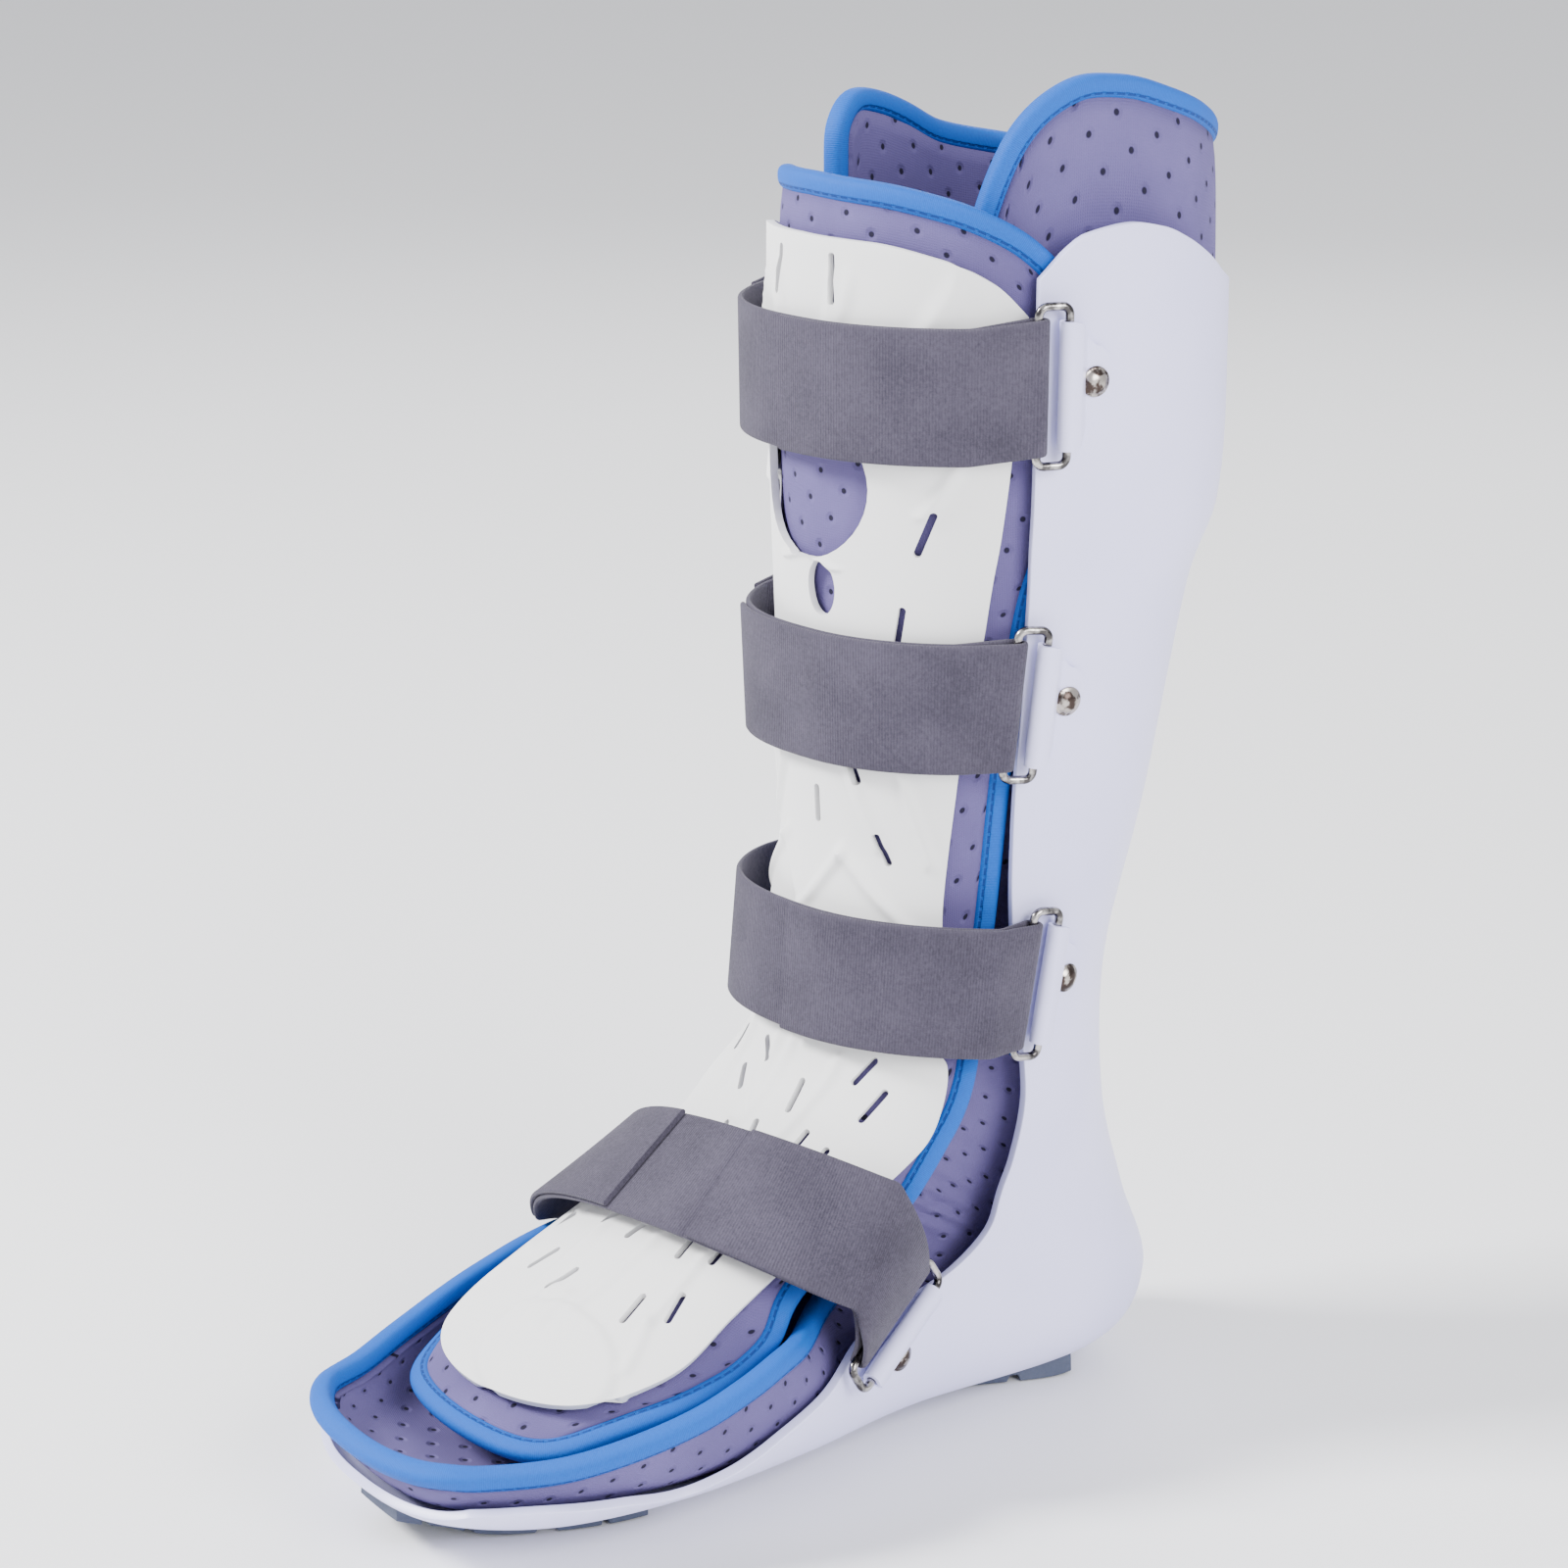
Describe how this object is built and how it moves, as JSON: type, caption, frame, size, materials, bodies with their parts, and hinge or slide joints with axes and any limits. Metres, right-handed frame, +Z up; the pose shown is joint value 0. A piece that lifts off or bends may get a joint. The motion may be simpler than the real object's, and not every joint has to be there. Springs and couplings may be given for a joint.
{
  "type": "ankle immobilizer",
  "caption": "Below-knee walking brace: a moulded plastic rear shell with a foam liner, a padded tongue under two vented front plates, hook-and-loop straps on steel rings and rubber treads.",
  "frame": {"origin": "on the underside of the heel tread, below the ankle, in the brace's plane of symmetry", "axes": "+Z up along the leg, -Y towards the toes, +X towards the side that the picture shows"},
  "size_m": [0.1397, 0.3089, 0.4204],
  "materials": {
    "shell_plastic": "satin, lavender white",
    "foam_fabric": "perforated lilac-grey foam faced with a knit",
    "binding_tape": "bright blue woven tape",
    "loop_strap": "grey brushed loop webbing",
    "polished_steel": "polished wire",
    "rivet_steel": "domed heads",
    "tread_rubber": "dark slate, grooved"
  },
  "bodies": {
    "root": {"rear_shell": "shell_plastic", "rear_liner": "foam_fabric", "rear_liner_binding": "binding_tape", "tongue_liner": "foam_fabric", "tongue_binding": "binding_tape", "shin_plate": "shell_plastic", "instep_plate": "shell_plastic", "calf_strap": "loop_strap", "shin_strap": "loop_strap", "ankle_strap": "loop_strap", "instep_strap": "loop_strap", "ring_calf_near": "polished_steel", "tab_calf_near": "shell_plastic", "rivet_calf_near": "rivet_steel", "ring_calf_far": "polished_steel", "tab_calf_far": "shell_plastic", "rivet_calf_far": "rivet_steel", "ring_shin_near": "polished_steel", "tab_shin_near": "shell_plastic", "rivet_shin_near": "rivet_steel", "ring_shin_far": "polished_steel", "tab_shin_far": "shell_plastic", "rivet_shin_far": "rivet_steel", "ring_ankle_near": "polished_steel", "tab_ankle_near": "shell_plastic", "rivet_ankle_near": "rivet_steel", "ring_ankle_far": "polished_steel", "tab_ankle_far": "shell_plastic", "rivet_ankle_far": "rivet_steel", "ring_instep_near": "polished_steel", "tab_instep_near": "shell_plastic", "rivet_instep_near": "rivet_steel", "ring_instep_far": "polished_steel", "tab_instep_far": "shell_plastic", "rivet_instep_far": "rivet_steel", "heel_tread": "tread_rubber", "forefoot_tread": "tread_rubber"}
  },
  "joints": []
}
